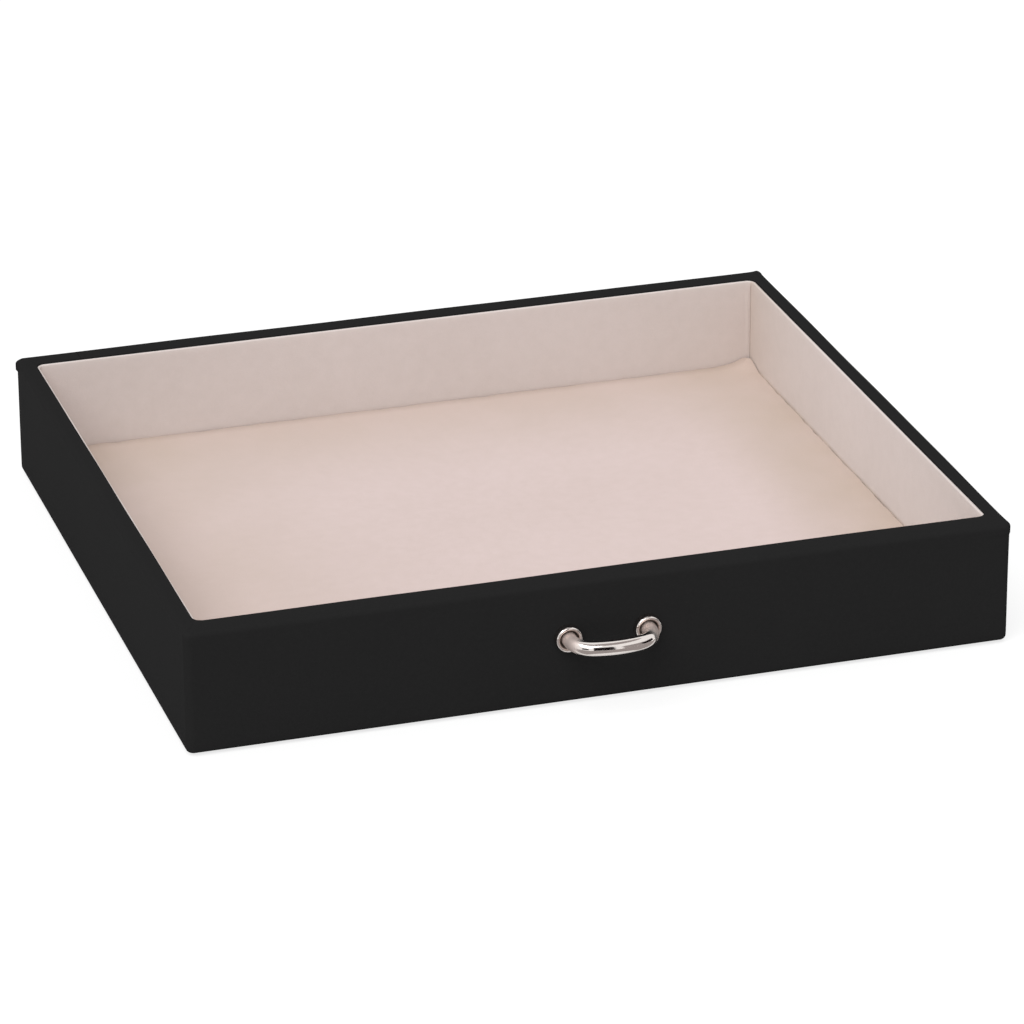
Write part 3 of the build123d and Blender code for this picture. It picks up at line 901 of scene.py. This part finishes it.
# The foam is its section carried round the pad's outline: the bottom, the side, a quarter round at the
# top edge, and the top.
foam_middles = np.array([pad_half[1], 0.06, 0.02, foam_inset + foam_round])
foam_section = [(inset, foam_low.z) for inset in foam_middles]
foam_section += [(foam_inset, z) for z in np.linspace(foam_low.z + 0.0001, foam_top - foam_round, 4)]
foam_section += [
    (foam_inset + foam_round * (1 - cos(a)), foam_top - foam_round * (1 - sin(a))) for a in arc(4, 0, 90)
]
foam_section += [(inset, foam_top) for inset in foam_middles[::-1]]
foam_rings = []
for inset, z in foam_section:
    plan = outline(pad_stations, pad_reach, pad_round, inset, ease=None)[0]
    foam_rings.append(np.column_stack([plan, np.full(len(plan), z)]))
foam_rings = np.array(foam_rings)
foam = add_piece(
    "pad_foam",
    foam_rings.reshape(-1, 3),
    tube_faces(len(foam_rings), pad_stations.shape[1]),
    foam_finish,
    "foam",
    "floor_foam",
)

# The handle is a bent bar, nickel plated and buffed to a polish but for the insides of its legs, which
# the wheel doesn't reach, and whose flat pinkish beige colour is a painted reflection. Each foot stands
# in a rounded collar on the front, where a screw from inside holds it.
bow_low, bow_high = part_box("handle_bow")
foot_spacing = 0.025
half_foot = foot_spacing / 2
handle_z = (bow_low.z + bow_high.z) / 2
bar_radius = (bow_high.z - bow_low.z) / 2
bend_radius = 0.007
grip_reach = -bow_low.y + wrap_low.y - bar_radius
bow_angle = radians(15)
grip_radius = (half_foot - bend_radius * (1 - sin(bow_angle))) / sin(bow_angle)
leg_run = grip_reach - bend_radius * cos(bow_angle) - grip_radius * (1 - cos(bow_angle))
front_face = wrap_low.y
bar_sides = 48
dull_reach = 0.0086
dull_fade = 0.0022


def bow_centreline():
    """The bar's line in the level plane, as (x, distance out from the front, heading): a straight leg, a
    tight bend, a wide arc across, and the same again."""
    leg = np.linspace(0, leg_run, 6, endpoint=False)
    half = [np.column_stack([np.full(6, -half_foot), leg, np.full(6, pi / 2)])]
    bend = np.linspace(pi / 2, bow_angle, 20, endpoint=False)
    bend_x = -half_foot + bend_radius * (1 - np.sin(bend))
    bend_y = leg_run + bend_radius * np.cos(bend)
    half.append(np.column_stack([bend_x, bend_y, bend]))
    grip = np.linspace(bow_angle, 0, 24)
    grip_x = -grip_radius * np.sin(grip)
    grip_y = grip_reach - grip_radius * (1 - np.cos(grip))
    half.append(np.column_stack([grip_x, grip_y, grip]))
    half = np.concatenate(half)
    other = half[-2::-1] * np.array([-1, 1, -1])
    return np.concatenate([half, other])


# The bar is a circle carried square to its line, closed at both tips.
line = bow_centreline()
angles = np.linspace(0, 2 * pi, bar_sides, endpoint=False)
heading = line[:, 2]
across = np.column_stack([-np.sin(heading), -np.cos(heading), np.zeros(len(line))])
centre = np.column_stack([line[:, 0], front_face - line[:, 1], np.full(len(line), handle_z)])
upward = np.array([0, 0, 1.0])
circle = np.cos(angles)[None, :, None] * across[:, None, :] + np.sin(angles)[None, :, None] * upward
bar = centre[:, None, :] + bar_radius * circle
tips = np.stack([np.repeat(centre[:1], bar_sides, axis=0), np.repeat(centre[-1:], bar_sides, axis=0)])
bar = np.concatenate([tips[:1], bar, tips[1:]])
bar_out = np.concatenate([line[:1, 1], line[:, 1], line[-1:, 1]])
# The legs' duller part also carries a painted pinkish reflection in its colour.
dull_and_reflection = 1 - ease_in(bar_out, dull_reach - dull_fade, dull_reach)

nickel, shader, place = new_finish("polished_nickel")
smear = noise(place, 0.004, 3.0)
plate = smear.mix((0.76, 0.70, 0.665), (0.83, 0.775, 0.74))
# Painted reflection: where the legs are dull, the colour turns a flat pinkish beige.
dull_with_reflection = mark(place, "dull_and_reflection")
plated = dull_with_reflection.mix(plate, (0.75, 0.63, 0.58))
# The collars' grooves are darkened with painted shade.
feed(
    shader,
    Base_Color=(mark(place, "groove_shade") * 0.8).mix(plated, (0.09, 0.075, 0.065)),
    Metallic=1.0 - dull_with_reflection * 0.45,
    Roughness=smear * 0.06 + 0.07 + dull_with_reflection * 0.3,
)
add_piece(
    "nickel_bow",
    bar.reshape(-1, 3),
    tube_faces(len(bar), bar_sides),
    nickel,
    "polished_nickel",
    "handle_bow",
    marks={"dull_and_reflection": np.repeat(dull_and_reflection, bar_sides)},
)

collar_low, collar_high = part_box("left_rosette")
collar_radius = (collar_high.z - collar_low.z) / 2
collar_bore = 0.00225
collar_skirt = 0.0003
crest_radius = collar_radius - 0.0008
crest_height = collar_high.y - collar_low.y - 0.0002
groove_radius = 0.0027
groove_floor = 0.0006
# Painted shade: the collar's colour darkens in and beside its groove.
groove_shade_near = 0.0001
groove_shade_far = 0.0004
collar_sides = 64
# The collar is a profile of (radius, rise from the front) turned about the foot: a low skirt, a quarter
# oval up to the crest, another down into the groove, and the bore.
brow, brow_rise = collar_radius - crest_radius, crest_height - collar_skirt
dip, dip_fall = crest_radius - groove_radius, crest_height - groove_floor
collar_profile = [(collar_bore, 0.0), (collar_radius, 0.0), (collar_radius, collar_skirt)]
collar_profile += [(crest_radius + brow * cos(a), collar_skirt + brow_rise * sin(a)) for a in arc(8, 0, 90)]
collar_profile += [(crest_radius - dip * sin(a), groove_floor + dip_fall * cos(a)) for a in arc(8, 0, 90)]
collar_profile += [
    (groove_radius - 0.0001, groove_floor),
    (collar_bore + 0.00012, groove_floor + 0.0001),
    (collar_bore, groove_floor + 0.0003),
]
radius, rise = np.array(collar_profile).T[:, :, None]
from_groove = np.abs(radius[:, 0] - groove_radius)
groove_shade = (1 - ease_in(from_groove, groove_shade_near, groove_shade_far)) * (rise[:, 0] > 0)
turns = np.linspace(0, 2 * pi, collar_sides, endpoint=False)
first_ring = np.arange(collar_sides)
next_point = (first_ring + 1) % collar_sides
last_ring = (len(collar_profile) - 1) * collar_sides
closing = np.stack([last_ring + first_ring, last_ring + next_point, next_point, first_ring], axis=1)
collar_faces = np.concatenate([tube_faces(len(collar_profile), collar_sides), closing])
for name, side in (("left", -1), ("right", 1)):
    collar = np.stack([
        side * half_foot + radius * np.cos(turns),
        front_face - rise + 0 * turns,
        handle_z + radius * np.sin(turns),
    ], axis=-1)
    add_piece(
        f"{name}_nickel_collar",
        collar.reshape(-1, 3),
        collar_faces,
        nickel,
        "polished_nickel",
        f"{name}_rosette",
        marks={"groove_shade": np.repeat(groove_shade, collar_sides)},
    )

# The handle's screws and washers are turned and stamped steel, zinc plated. They are sunk in the front
# board, behind the lining, and hold the handle from inside.
zinc, shader, place = new_finish("zinc_steel", Metallic=1.0)
spangle = noise(place, 0.0008, 4.0)
feed(
    shader,
    Base_Color=spangle.mix((0.50, 0.51, 0.53), (0.68, 0.69, 0.70)),
    Roughness=spangle * 0.25 + 0.25,
    Normal=bump(spangle, 0.00001),
)
dress([f"{side}_handle_{part}" for side in ("left", "right") for part in ("screw", "washer")], zinc)
